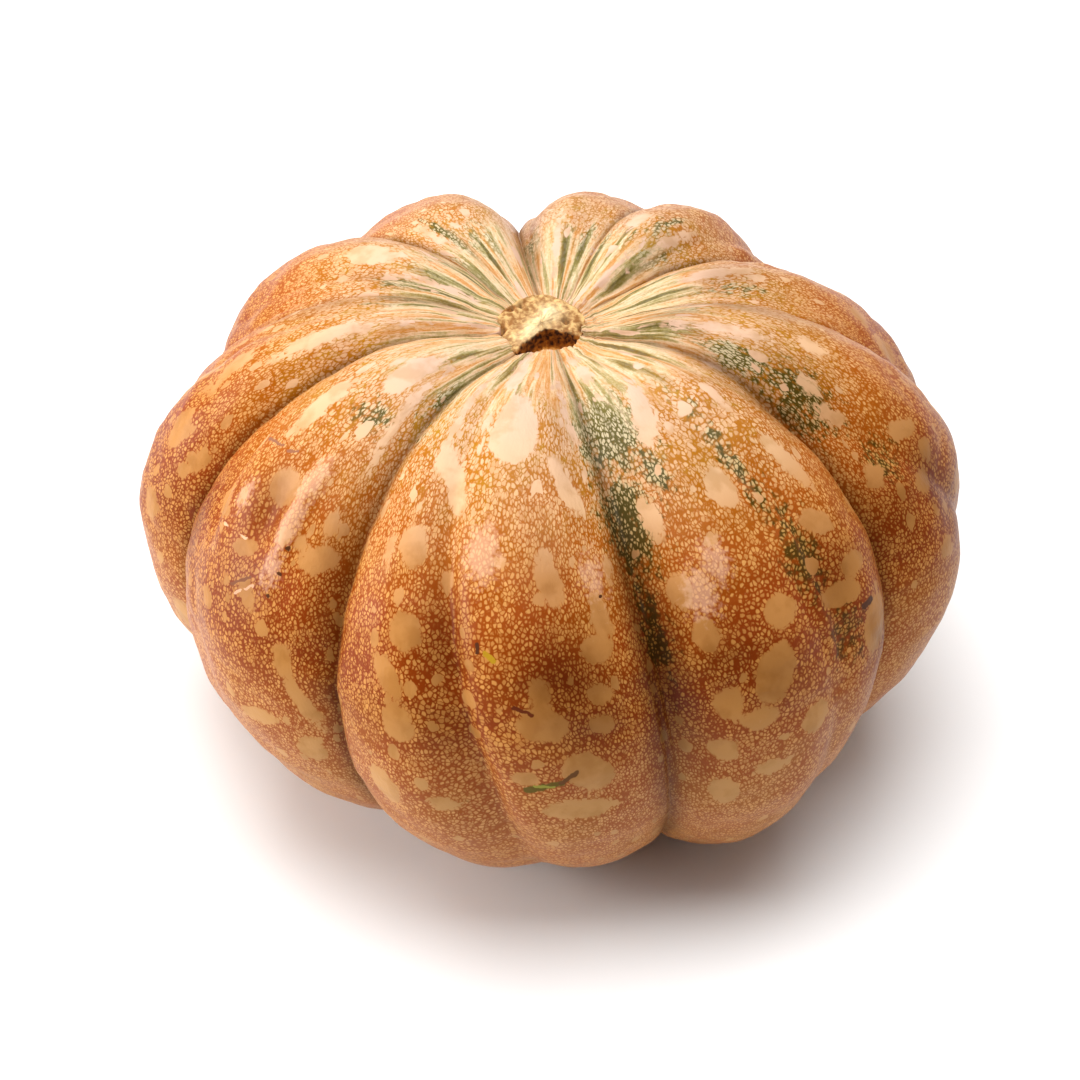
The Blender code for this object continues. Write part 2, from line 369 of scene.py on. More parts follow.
# Pale blotches, each with its rib, place across it and polar angle, then its half sizes and its lean across
# the rib for each degree down.
Blotch = namedtuple("Blotch", "rib share polar half_share half_polar lean")
BLOTCHES = [
    Blotch(0, 0.65, 24, 0.11, 5.5, 0),
    Blotch(0, 0.42, 37, 0.07, 6, 0),
    Blotch(0, 0.85, 29, 0.035, 9, 0.005),
    Blotch(0, 0.59, 49.5, 0.09, 3, 0),
    Blotch(0, 0.87, 50, 0.035, 2.5, 0),
    Blotch(0, 0.88, 56, 0.06, 3, -0.01),
    Blotch(0, 0.80, 55, 0.025, 1.5, 0),
    Blotch(0, 0.30, 59, 0.08, 3.5, 0),
    Blotch(0, 0.56, 61.5, 0.05, 2, -0.02),
    Blotch(0, 0.65, 68, 0.04, 2.5, 0.01),
    Blotch(0, 0.45, 75, 0.04, 2, 0),
    Blotch(0, 0.83, 77, 0.035, 4, 0.003),
    Blotch(0, 0.89, 86, 0.035, 6, 0.008),
    Blotch(0, 0.70, 93, 0.07, 2, -0.03),
    Blotch(0, 0.88, 97, 0.05, 3, 0),
    Blotch(1, 0.57, 27, 0.14, 6.3, 0),
    Blotch(1, 0.41, 14, 0.09, 6, 0.01),
    Blotch(1, 0.21, 25, 0.025, 10, 0.002),
    Blotch(1, 0.33, 37, 0.05, 5, 0.012),
    Blotch(1, 0.25, 34, 0.05, 2.5, 0),
    Blotch(1, 0.39, 28, 0.015, 6, 0.003),
    Blotch(1, 0.24, 48, 0.05, 3.5, 0),
    Blotch(1, 0.155, 50, 0.02, 3, 0),
    Blotch(1, 0.37, 52, 0.02, 2, 0),
    Blotch(1, 0.27, 61.5, 0.05, 3.5, 0),
    Blotch(1, 0.23, 70, 0.04, 4, 0.008),
    Blotch(1, 0.26, 79, 0.05, 4, 0),
    Blotch(1, 0.18, 95, 0.05, 4, 0),
    Blotch(1, 0.36, 95, 0.05, 1.5, 0),
    Blotch(1, 0.83, 36, 0.045, 5, 0.01),
    Blotch(1, 0.885, 22, 0.025, 6.5, 0.004),
    Blotch(1, 0.73, 50.5, 0.045, 4.5, 0.003),
    Blotch(1, 0.56, 48, 0.025, 1, 0),
    Blotch(1, 0.94, 49, 0.015, 2, 0),
    Blotch(1, 0.88, 57, 0.035, 4, 0),
    Blotch(1, 0.85, 62, 0.05, 2.5, 0),
    Blotch(1, 0.67, 69, 0.03, 3, 0),
    Blotch(1, 0.67, 75, 0.07, 3.5, 0),
    Blotch(1, 0.84, 70, 0.04, 2, 0),
    Blotch(1, 0.83, 76, 0.04, 2, 0),
    Blotch(1, 0.77, 86, 0.065, 5, 0.004),
    Blotch(1, 0.73, 94, 0.10, 2, 0),
    Blotch(1, 0.60, 87, 0.04, 2, 0),
    Blotch(2, 0.33, 25, 0.065, 7, -0.011),
    Blotch(2, 0.16, 12, 0.07, 4, 0),
    Blotch(2, 0.14, 43, 0.035, 3.5, 0),
    Blotch(2, 0.44, 42, 0.07, 3.5, 0),
    Blotch(2, 0.31, 48.5, 0.03, 1.2, 0),
    Blotch(2, 0.15, 55, 0.04, 3, 0),
    Blotch(2, 0.19, 63, 0.04, 3, 0),
    Blotch(2, 0.44, 64, 0.065, 3, 0),
    Blotch(2, 0.36, 74, 0.07, 5.5, -0.004),
    Blotch(2, 0.29, 82, 0.06, 2.5, 0),
    Blotch(2, 0.20, 77, 0.045, 4, 0),
    Blotch(2, 0.17, 88, 0.05, 3, 0),
    Blotch(2, 0.33, 93.5, 0.06, 1.5, 0),
    Blotch(2, 0.17, 97, 0.05, 3, 0),
    Blotch(2, 0.50, 88, 0.06, 3, 0),
    Blotch(2, 0.69, 68, 0.08, 2.5, 0.01),
    Blotch(2, 0.71, 54.5, 0.05, 3, 0.01),
    Blotch(2, 0.77, 64.5, 0.06, 2, 0),
    Blotch(2, 0.75, 44, 0.04, 5.5, 0.004),
    Blotch(2, 0.82, 79, 0.07, 6, 0),
    Blotch(2, 0.70, 30, 0.03, 3, 0),
    Blotch(3, 0.27, 24, 0.05, 8, 0.004),
    Blotch(3, 0.18, 40, 0.04, 2, 0),
    Blotch(3, 0.15, 45, 0.03, 3, 0.01),
    Blotch(3, 0.42, 38, 0.06, 2.5, 0),
    Blotch(3, 0.37, 57, 0.06, 2.5, 0.02),
    Blotch(3, 0.30, 66, 0.06, 2, 0),
    Blotch(4, 0.45, 27, 0.06, 8, 0),
    Blotch(5, 0.25, 28, 0.03, 6, 0),
    Blotch(5, 0.36, 14, 0.05, 6, 0),
    Blotch(5, 0.70, 27, 0.10, 3.5, 0),
    Blotch(6, 0.56, 15, 0.05, 10, 0),
    Blotch(7, 0.86, 28, 0.04, 5, 0),
    Blotch(8, 0.50, 31, 0.12, 4.5, 0),
    Blotch(8, 0.68, 18, 0.03, 7, 0),
    Blotch(9, 0.75, 33, 0.07, 9, 0),
    Blotch(9, 0.79, 18, 0.03, 6, 0),
    Blotch(9, 0.60, 48, 0.07, 3.5, 0),
    Blotch(9, 0.72, 63, 0.07, 4.5, 0),
    Blotch(9, 0.92, 62, 0.02, 2, 0),
    Blotch(9, 0.62, 55, 0.03, 1.5, 0),
]

# The back, which the view doesn't show, has blotches at random.
BACK_BLOTCH_COUNT = 110
BACK_BLOTCH_HALF_SIZES = (2.5 * MM, 5.5 * MM)
BACK_BLOTCH_SHARES = (0.12, 0.92)
BACK_BLOTCH_POLAR_COSINES = (-0.85, 0.6)
BACK_BLOTCH_LENGTHENINGS = (0.8, 2)
BACK_RIBS = [3, 4, 5, 6, 7, 8, 9]
MEAN_RIB_WIDTH = 75 * MM
OUTSIDE_BLOTCHES = -6 * MM
BLOTCH_REACH = 3
BLOTCH_MARGIN = 4

dice = np.random.default_rng(4)
back_blotches = []
for _ in range(BACK_BLOTCH_COUNT):
    half_size = dice.uniform(*BACK_BLOTCH_HALF_SIZES)
    back_blotches.append(Blotch(
        rib=int(dice.choice(BACK_RIBS)),
        share=dice.uniform(*BACK_BLOTCH_SHARES),
        polar=math.degrees(math.acos(dice.uniform(*BACK_BLOTCH_POLAR_COSINES))),
        half_share=half_size / MEAN_RIB_WIDTH,
        half_polar=half_size / ARC_OF_DEGREE * dice.uniform(*BACK_BLOTCH_LENGTHENINGS),
        lean=0,
    ))
blotch = np.full(len(polar), OUTSIDE_BLOTCHES)
for spot in BLOTCHES + back_blotches:
    reached = np.abs(polar_degrees - spot.polar) < BLOTCH_REACH * spot.half_polar + BLOTCH_MARGIN
    near = np.flatnonzero((rib == spot.rib) & reached)
    downwards = polar_degrees[near] - spot.polar
    sideways = share[near] - spot.share - spot.lean * downwards
    half_width = spot.half_share * rib_width[near] * radius[near]
    half_length = spot.half_polar * ARC_OF_DEGREE
    away = np.hypot(sideways / spot.half_share, downwards / spot.half_polar)
    inside = (1 - away) * np.minimum(half_width, half_length)
    blotch[near] = np.maximum(blotch[near], inside)

# Larger patches of another colour, placed as the blotches are, each with its strength: where the rind is
# green, where it is browner and darker, partly as browner rind and partly as painted shade, and where a
# pebbly pink sheen is painted.
PATCH_REACH = 2.5
Patch = namedtuple("Patch", "rib share polar half_share half_polar strength")
GREEN_PATCHES = [
    Patch(0, 0.65, 15, 0.10, 4, 0.8),
    Patch(0, 0.72, 33, 0.14, 3.5, 0.6),
    Patch(0, 0.95, 20, 0.06, 9, 0.7),
    Patch(1, 0.04, 25, 0.05, 12, 0.5),
    Patch(1, 0.97, 24, 0.05, 14, 0.8),
    Patch(2, 0.12, 25, 0.17, 10, 1),
    Patch(2, 0.06, 42, 0.10, 10, 0.9),
    Patch(2, 0.04, 60, 0.05, 14, 0.7),
    Patch(2, 0.22, 36, 0.06, 5, 0.8),
    Patch(2, 0.55, 38, 0.045, 18, 0.62),
    Patch(2, 0.60, 58, 0.09, 12, 0.65),
    Patch(2, 0.68, 76, 0.09, 8, 0.6),
    Patch(3, 0.18, 14, 0.12, 7, 0.9),
    Patch(3, 0.10, 28, 0.08, 7, 0.85),
    Patch(3, 0.12, 40, 0.14, 9, 0.7),
    Patch(3, 0.20, 57, 0.10, 6, 0.6),
    Patch(3, 0.60, 17, 0.25, 6, 0.8),
    Patch(4, 0.28, 14, 0.15, 7, 0.8),
    Patch(4, 0.22, 27, 0.10, 8, 0.5),
    Patch(4, 0.70, 16, 0.15, 8, 0.7),
    Patch(5, 0.18, 18, 0.12, 8, 1),
    Patch(5, 0.55, 16, 0.15, 7, 0.7),
    Patch(5, 0.42, 28, 0.10, 6, 0.6),
    Patch(5, 0.90, 16, 0.10, 8, 0.7),
    Patch(6, 0.16, 16, 0.10, 8, 1),
    Patch(6, 0.38, 16, 0.10, 7, 0.8),
    Patch(6, 0.75, 13, 0.10, 6, 1),
    Patch(6, 0.90, 20, 0.12, 9, 0.6),
    Patch(7, 0.55, 18, 0.22, 7, 0.8),
    Patch(7, 0.78, 22, 0.04, 12, 1),
    Patch(7, 0.93, 15, 0.06, 8, 0.8),
    Patch(8, 0.20, 16, 0.20, 8, 0.7),
    Patch(8, 0.55, 15, 0.10, 8, 1),
    Patch(8, 0.80, 18, 0.10, 10, 1),
    Patch(9, 0.20, 18, 0.14, 9, 0.7),
    Patch(9, 0.36, 19, 0.06, 8, 1),
]
# Browner, darker patches: partly browner rind and partly painted shade.
BROWN_AND_SHADE_PATCHES = [
    Patch(0, 0.56, 53, 0.12, 8, 0.6),
    Patch(0, 0.93, 54, 0.06, 16, 0.5),
    Patch(0, 0.14, 68, 0.08, 9, 0.6),
    Patch(0, 0.60, 66, 0.14, 8, 0.4),
    Patch(1, 0.39, 62, 0.08, 10, 0.7),
    Patch(1, 0.40, 78, 0.08, 8, 0.4),
    Patch(1, 0.74, 67, 0.14, 9, 1.0),
    Patch(1, 0.72, 50, 0.10, 10, 0.35),
    Patch(1, 0.85, 28, 0.08, 14, 0.35),
    Patch(1, 0.80, 75, 0.12, 8, 0.6),
    Patch(1, 0.96, 88, 0.05, 14, 0.4),
    Patch(2, 0.05, 66, 0.09, 24, 1.0),
    Patch(2, 0.22, 68, 0.16, 8, 0.6),
    Patch(2, 0.35, 73, 0.12, 7, 0.5),
    Patch(2, 0.68, 64, 0.12, 8, 0.7),
    Patch(2, 0.88, 84, 0.12, 9, 0.5),
    Patch(2, 0.94, 27, 0.07, 8, 0.5),
    Patch(2, 0.92, 36, 0.07, 6, 0.4),
    Patch(2, 0.12, 32, 0.10, 6, 0.3),
    Patch(3, 0.10, 66, 0.15, 9, 0.6),
    Patch(3, 0.36, 67, 0.12, 8, 0.8),
    Patch(3, 0.45, 17, 0.20, 6, 0.7),
    Patch(3, 0.72, 25, 0.20, 12, 0.6),
    Patch(3, 0.20, 36, 0.12, 8, 0.35),
    Patch(3, 0.42, 76, 0.12, 8, 0.5),
    Patch(4, 0.40, 27, 0.20, 6, 0.5),
    Patch(9, 0.22, 20, 0.16, 9, 0.8),
    Patch(9, 0.26, 33, 0.12, 9, 0.5),
    Patch(7, 0.76, 21, 0.05, 8, 0.5),
    Patch(8, 0.75, 27, 0.07, 9, 0.5),
    Patch(8, 0.84, 23, 0.06, 8, 0.4),
    Patch(5, 0.15, 22, 0.08, 10, 0.4),
]
# Pebbly pink patches of painted sheen: highlights painted on the front ribs above the widest ring.
PAINTED_SHEEN_PATCHES = [
    Patch(0, 0.71, 46, 0.06, 5, 0.9),
    Patch(0, 0.72, 53, 0.05, 6, 0.9),
    Patch(0, 0.72, 61, 0.05, 5, 0.7),
    Patch(0, 0.43, 55, 0.05, 4, 0.7),
    Patch(1, 0.50, 47, 0.07, 5, 0.9),
    Patch(1, 0.88, 50, 0.06, 5, 0.6),
    Patch(2, 0.21, 56, 0.06, 5, 0.8),
    Patch(2, 0.29, 52, 0.05, 4, 0.8),
]


def painted(patches):
    """How strongly each vertex is covered by the patches."""
    cover = np.zeros(len(polar))
    for patch in patches:
        reached = np.abs(polar_degrees - patch.polar) < PATCH_REACH * patch.half_polar
        near = np.flatnonzero((np.abs(rib - patch.rib) <= 1) & reached)
        downwards = (polar_degrees[near] - patch.polar) / patch.half_polar
        sideways = (share[near] + rib[near] - patch.rib - patch.share) / patch.half_share
        cover[near] = np.maximum(cover[near], patch.strength * bell(np.hypot(sideways, downwards), 1))
    return cover


# Scratches, nicks and dark specks: each a stroke from one place on a rib to another.
Mark = namedtuple("Mark", "rib share polar end_share end_polar half_width colour")
DARK = (0.07, 0.020, 0.006)
MARKS = [
    Mark(1, 0.60, 90, 0.695, 88, 1.1 * MM, (0.110, 0.070, 0.003)),
    Mark(1, 0.70, 88, 0.745, 86, 0.8 * MM, (0.12, 0.045, 0.008)),
    Mark(1, 0.63, 89.5, 0.665, 88.5, 0.5 * MM, (0.26, 0.24, 0.03)),
    Mark(1, 0.535, 62.5, 0.548, 64, 0.8 * MM, (0.36, 0.20, 0.010)),
    Mark(1, 0.51, 62, 0.51, 62.5, 0.6 * MM, DARK),
    Mark(1, 0.89, 53, 0.89, 53, 0.6 * MM, DARK),
    Mark(1, 0.61, 72, 0.65, 73, 0.6 * MM, (0.10, 0.018, 0.004)),
    Mark(0, 0.40, 61.5, 0.545, 60.5, 0.5 * MM, (0.64, 0.36, 0.20)),
    Mark(0, 0.58, 68, 0.65, 65, 0.5 * MM, (0.16, 0.045, 0.012)),
    Mark(0, 0.59, 69, 0.66, 66, 0.4 * MM, (0.58, 0.30, 0.17)),
    Mark(0, 0.76, 57, 0.76, 57, 0.8 * MM, DARK),
    Mark(0, 0.77, 62, 0.77, 62, 0.6 * MM, DARK),
    Mark(0, 0.73, 66, 0.73, 66, 0.6 * MM, DARK),
    Mark(0, 0.31, 47, 0.42, 45.2, 0.5 * MM, (0.26, 0.10, 0.05)),
    Mark(0, 0.47, 45, 0.53, 44, 0.5 * MM, (0.26, 0.10, 0.05)),
    Mark(2, 0.76, 73, 0.81, 73, 1.0 * MM, DARK),
]

# To find a place on the rind, the width of a rib and the step to another rib count as so many degrees.
DEGREES_ACROSS_RIB = 40
DEGREES_TO_OTHER_RIB = 90


def on_rind(its_rib, its_share, its_polar):
    """The vertex of the rind nearest to a place on a rib."""
    away = np.hypot((share - its_share) * DEGREES_ACROSS_RIB, polar_degrees - its_polar)
    return Vector(rind[np.argmin(away + DEGREES_TO_OTHER_RIB * (rib != its_rib))])


def keep(piece, name, values, kind="FLOAT"):
    """Store one value or vector for each of a piece's vertices, for its material to read."""
    layer = piece.data.attributes.new(name, kind, "POINT")
    layer.data.foreach_set("vector" if kind == "FLOAT_VECTOR" else "value", values.ravel())


keep(fruit, "grain", grain, "FLOAT_VECTOR")
keep(fruit, "down", polar / math.pi)
keep(fruit, "thinness", plain_radius / WIDEST_RADIUS)
keep(fruit, "blotch", blotch)
keep(fruit, "green", painted(GREEN_PATCHES))
keep(fruit, "brown_and_shade", painted(BROWN_AND_SHADE_PATCHES))
keep(fruit, "painted_sheen", painted(PAINTED_SHEEN_PATCHES))
keep(fruit, "furrow", 1 - arch)
keep(fruit, "scar", scar)


class Finish:
    """A material built from nodes, with short calls for the kinds of node used here."""

    def __init__(self, name):
        self.material = bpy.data.materials.new(name)
        self.material.use_nodes = True
        self.nodes = self.material.node_tree.nodes
        self.links = self.material.node_tree.links
        self.surface = self.nodes["Principled BSDF"]
        self.place = self.nodes.new("ShaderNodeTexCoord").outputs["Object"]

    def feed(self, socket, value):
        """Set a socket from another node's output or from a constant."""
        if isinstance(value, bpy.types.NodeSocket):
            self.links.new(value, socket)
        else:
            socket.default_value = value

    def attribute(self, name, output="Fac"):
        """What was kept for each vertex."""
        node = self.nodes.new("ShaderNodeAttribute")
        node.attribute_name = name
        return node.outputs[output]

    def work_out(self, kind, operation, values, output):
        """One result of an operation on the values."""
        node = self.nodes.new(kind)
        node.operation = operation
        for socket, value in zip(node.inputs, values):
            self.feed(socket, value)
        return node.outputs[output]

    def math(self, operation, *values):
        """A number worked out from numbers."""
        return self.work_out("ShaderNodeMath", operation, values, "Value")

    def vector(self, operation, *values):
        """A vector worked out from vectors."""
        return self.work_out("ShaderNodeVectorMath", operation, values, "Vector")

    def measure(self, operation, *values):
        """A number worked out from vectors."""
        return self.work_out("ShaderNodeVectorMath", operation, values, "Value")

    def scaled(self, value, factor, more=0):
        """The value times the factor, plus more."""
        return self.math("MULTIPLY_ADD", value, factor, more)

    def from_stroke(self, place, first, last):
        """Distance from a straight stroke between two places."""
        run = last - first
        shorter_run = run / max(run.length_squared, MM * MM)
        share = self.measure("DOT_PRODUCT", self.vector("SUBTRACT", place, first), shorter_run)
        share = self.math("MINIMUM", self.math("MAXIMUM", share, 0), 1)
        return self.measure("DISTANCE", place, self.vector("MULTIPLY_ADD", run, share, first))

    def noise(self, place, size, detail=2, output="Fac"):
        """Smooth noise with features of the given size."""
        node = self.nodes.new("ShaderNodeTexNoise")
        self.feed(node.inputs["Vector"], place)
        node.inputs["Scale"].default_value = 1 / size
        node.inputs["Detail"].default_value = detail
        return node.outputs[output]

    def cells(self, place, size, feature, output):
        """A pattern of cells of the given size."""
        node = self.nodes.new("ShaderNodeTexVoronoi")
        node.feature = feature
        self.feed(node.inputs["Vector"], place)
        node.inputs["Scale"].default_value = 1 / size
        return node.outputs[output]

    def channel(self, colour, index):
        """One channel of a colour."""
        node = self.nodes.new("ShaderNodeSeparateColor")
        self.feed(node.inputs[0], colour)
        return node.outputs[index]

    def step(self, value, low, high):
        """0 below low and 1 above high, with a smooth rise between."""
        node = self.nodes.new("ShaderNodeMapRange")
        node.interpolation_type = "SMOOTHSTEP"
        self.feed(node.inputs["Value"], value)
        self.feed(node.inputs["From Min"], low)
        self.feed(node.inputs["From Max"], high)
        return node.outputs["Result"]

    def mix(self, share, first, second, blend="MIX"):
        """A colour part of the way from the first to the second."""
        node = self.nodes.new("ShaderNodeMix")
        node.data_type = "RGBA"
        node.blend_type = blend
        self.feed(node.inputs[0], share)
        self.feed(node.inputs[6], first)
        self.feed(node.inputs[7], second)
        return node.outputs[2]

    def gradient(self, value, stops):
        """A colour that runs through the stops, each a place and a linear colour."""
        node = self.nodes.new("ShaderNodeValToRGB")
        self.feed(node.inputs["Fac"], value)
        ramp = node.color_ramp.elements
        while len(ramp) < len(stops):
            ramp.new(1)
        for element, (place, colour) in zip(ramp, stops):
            element.position = place
            element.color = (*colour, 1)
        return node.outputs["Color"]


# The sizes of the rind's patterns: the cells of the net, and the features of what bends and breaks them.
CELL_SIZE = 1.1 * MM
NET_WOBBLE = 0.9 * MM
NET_WOBBLE_SIZE = 3 * MM
NET_ROUNDING = -0.30
NET_COVERAGE_SIZE = 9 * MM
NET_COVERAGE = (0.42, -0.26)
NET_CELL_CHANCE = 0.12
NET_CROWN_THINNING = -0.10
NET_BREAK_SIZE = 0.8 * MM
NET_BREAKS = (0.9, -0.45)
NET_CROWN_BREAKS = (0.7, 0.5)
FLECK_CELL_SIZE = 7 * MM
FLECK_WOBBLE = 2.5 * MM
FLECK_LARGEST_RADIUS = 0.34
FLECK_SOFTNESS = 0.04
CROWN_SHARES = (0.30, 0.08)
BAND_EDGES = (0.36, 0.66)
BAND_EDGE_SIZE = 6 * MM
BAND_EDGE_RAGGEDNESS = 0.12
FIRST_BAND_WIDTH = 0.4
BAND_WIDTH_STEP = 0.3
BLOTCH_EDGE = (1.6 * MM, 2.4 * MM)
BLOTCH_EDGE_SIZE = 5 * MM
BLOTCH_RAGGEDNESS = 3.0 * MM
BLOTCH_CELL_RAGGEDNESS = 1.0 * MM

finish = Finish("rind")
down = finish.attribute("down")
crown = finish.step(down, *CROWN_SHARES)

# Towards the stalk the cells would grow narrow, so the grain is widened in bands with ragged edges.
band_noise = finish.noise(finish.place, BAND_EDGE_SIZE)
ragged = finish.scaled(band_noise, BAND_EDGE_RAGGEDNESS, finish.attribute("thinness"))
columns = FIRST_BAND_WIDTH
for band_edge in BAND_EDGES:
    columns = finish.scaled(finish.math("GREATER_THAN", ragged, band_edge), BAND_WIDTH_STEP, columns)
widening = finish.nodes.new("ShaderNodeCombineXYZ")
finish.feed(widening.inputs["X"], columns)
finish.feed(widening.inputs["Y"], columns)
finish.feed(widening.inputs["Z"], 1)
raw_grain = finish.attribute("grain", "Vector")
even_grain = finish.vector("MULTIPLY", raw_grain, widening.outputs["Vector"])

# The net: the ground shows along the edges of the cells, more or less from place to place.
wobble = finish.noise(even_grain, NET_WOBBLE_SIZE, 1, "Color")
wobbly_grain = finish.vector("MULTIPLY_ADD", wobble, (NET_WOBBLE,) * 3, even_grain)
from_edge = finish.cells(wobbly_grain, CELL_SIZE, "DISTANCE_TO_EDGE", "Distance")
from_middle = finish.cells(wobbly_grain, CELL_SIZE, "F1", "Distance")
cell_chance = finish.cells(wobbly_grain, CELL_SIZE, "F1", "Color")
from_rounded_edge = finish.scaled(from_middle, NET_ROUNDING, from_edge)
half_line = finish.scaled(finish.noise(finish.place, NET_COVERAGE_SIZE, 4), *NET_COVERAGE)
half_line = finish.scaled(finish.channel(cell_chance, 0), NET_CELL_CHANCE, half_line)
half_line = finish.scaled(crown, NET_CROWN_THINNING, half_line)
broken = finish.scaled(finish.noise(even_grain, NET_BREAK_SIZE, 3), *NET_BREAKS)
half_line = finish.scaled(broken, finish.scaled(crown, *NET_CROWN_BREAKS), half_line)

# Pale flecks between the blotches, then the ragged edges of the blotches themselves.
fleck_place = finish.vector("MULTIPLY_ADD", wobble, (FLECK_WOBBLE,) * 3, even_grain)
fleck_chance = finish.cells(fleck_place, FLECK_CELL_SIZE, "F1", "Color")
fleck_radius = finish.scaled(finish.channel(fleck_chance, 0), FLECK_LARGEST_RADIUS)
from_fleck = finish.cells(fleck_place, FLECK_CELL_SIZE, "F1", "Distance")
in_fleck = finish.step(finish.math("SUBTRACT", fleck_radius, from_fleck), 0, FLECK_SOFTNESS)
blotch_depth = finish.attribute("blotch")
blotch_depth = finish.scaled(finish.channel(cell_chance, 2), BLOTCH_CELL_RAGGEDNESS, blotch_depth)
blotch_noise = finish.noise(finish.place, BLOTCH_EDGE_SIZE)
blotch_depth = finish.scaled(blotch_noise, BLOTCH_RAGGEDNESS, blotch_depth)
in_blotch = finish.math("MAXIMUM", finish.step(blotch_depth, *BLOTCH_EDGE), in_fleck)

# The colours, which run from the stalk down: of the net and the blotches, then of the ground between.
STAIN_SIZE = 8 * MM
STAIN_RANGE = (0.45, 0.65)
STAIN_STRENGTH = 0.55
STAIN = (0.74, 0.66, 0.48, 1)
YELLOW_SIZE = 22 * MM
YELLOW_RANGE = (0.42, 0.66)
YELLOW_STRENGTH = 0.5
YELLOW_TINT = (1.05, 1.4, 1.0, 1)
AMBER_SIZE = 4 * MM
AMBER_RANGE = (0.48, 0.66)
AMBER_STRENGTH = 0.8
AMBER = (0.36, 0.19, 0.012, 1)

# Besides the rind's own colours, these gradients hold painted light: they are darkest just above the widest
# ring, partly as painted shade, and grow paler again below it as painted bounce light from the table.
pale = finish.gradient(down, [
    (0.07, (0.62, 0.42, 0.29)),
    (0.15, (0.64, 0.41, 0.26)),
    (0.22, (0.64, 0.37, 0.17)),
    (0.28, (0.61, 0.295, 0.085)),
    (0.34, (0.57, 0.255, 0.060)),
    (0.43, (0.54, 0.240, 0.056)),
    (0.53, (0.58, 0.285, 0.088)),
    (1.00, (0.50, 0.25, 0.09)),
])
blotch_tone = finish.gradient(down, [
    (0.12, (0.64, 0.42, 0.30)),
    (0.22, (0.64, 0.38, 0.20)),
    (0.28, (0.51, 0.235, 0.078)),
    (0.34, (0.45, 0.195, 0.052)),
    (0.43, (0.42, 0.182, 0.046)),
    (0.53, (0.49, 0.245, 0.080)),
    (1.00, (0.46, 0.24, 0.10)),
])
stained = finish.step(finish.noise(finish.place, STAIN_SIZE, 4), *STAIN_RANGE)
blotch_tone = finish.mix(finish.scaled(stained, STAIN_STRENGTH), blotch_tone, STAIN, "MULTIPLY")
ground = finish.gradient(down, [
    (0.07, (0.40, 0.18, 0.040)),
    (0.15, (0.39, 0.140, 0.008)),
    (0.25, (0.34, 0.078, 0.002)),
    (0.34, (0.24, 0.036, 0.001)),
    (0.42, (0.20, 0.031, 0.0015)),
    (0.50, (0.28, 0.060, 0.006)),
    (0.62, (0.33, 0.095, 0.018)),
    (1.00, (0.28, 0.10, 0.035)),
])
yellowed = finish.step(finish.noise(finish.place, YELLOW_SIZE, 2), *YELLOW_RANGE)
ground = finish.mix(finish.scaled(yellowed, YELLOW_STRENGTH), ground, YELLOW_TINT, "MULTIPLY")
amber = finish.step(finish.noise(even_grain, AMBER_SIZE, 3), *AMBER_RANGE)
amber = finish.math("MULTIPLY", amber, crown)
ground = finish.mix(finish.scaled(amber, AMBER_STRENGTH), ground, AMBER)

# Green ground and its paler specks, where the patches are green and noise breaks them up.
GREEN_PATCH_SIZE = 6 * MM
GREEN_PATCH_WEIGHT = 0.7
GREEN_SPECK_SIZE = 1.8 * MM
GREEN_SPECK_WEIGHT = 1.3
GREEN_EDGE = (1.26, 1.66)
GREEN_SPECK_STRENGTH = 0.8
GREEN_LINE_WIDENING = 0.08
LINE_EDGE = (-0.16, 0.14)
SPECK_GROUND = (-0.40, 0.42)

green_ground = finish.gradient(down, [
    (0.07, (0.230, 0.190, 0.060)),
    (0.14, (0.110, 0.086, 0.016)),
    (0.22, (0.066, 0.044, 0.003)),
    (0.30, (0.076, 0.035, 0.002)),
    (0.45, (0.080, 0.028, 0.002)),
])
green_speck = finish.gradient(down, [
    (0.10, (0.54, 0.48, 0.32)),
    (0.17, (0.54, 0.46, 0.27)),
    (0.22, (0.50, 0.36, 0.16)),
    (0.30, (0.42, 0.23, 0.055)),
    (0.45, (0.30, 0.13, 0.026)),
])
greenness = finish.attribute("green")
patchy = finish.scaled(finish.noise(finish.place, GREEN_PATCH_SIZE, 3), GREEN_PATCH_WEIGHT, greenness)
patchy = finish.scaled(finish.noise(even_grain, GREEN_SPECK_SIZE, 3), GREEN_SPECK_WEIGHT, patchy)
is_green = finish.step(patchy, *GREEN_EDGE)
half_line = finish.scaled(is_green, GREEN_LINE_WIDENING, half_line)
line = finish.step(finish.math("SUBTRACT", half_line, from_rounded_edge), *LINE_EDGE)
ground = finish.mix(is_green, ground, green_ground)
ground_share = finish.scaled(finish.channel(cell_chance, 2), *SPECK_GROUND)
speck = finish.mix(ground_share, pale, ground)
speck = finish.mix(finish.scaled(is_green, GREEN_SPECK_STRENGTH), speck, green_speck)

# Streaks round the stalk, drawn out along the ribs: olive, cream and orange.
STREAK_STRETCH = (0.16, 0.16, 0.07)
STREAK_SIZE = 1.0 * MM
STREAK_SHIFT = 0.05
STREAK_SPECK_SIZE = 0.8 * MM
STREAK_SPECK_WEIGHT = 0.10
STREAK_GREEN_WEIGHT = -0.16
STREAK_BROWN_AND_SHADE_WEIGHT = 0.10
STREAK_END = (0.225, 0.155)
STREAK_END_RAGGEDNESS = 0.14
STREAK_GROUND_STRENGTH = 0.75
STREAK_SPECK_STRENGTH = 0.85

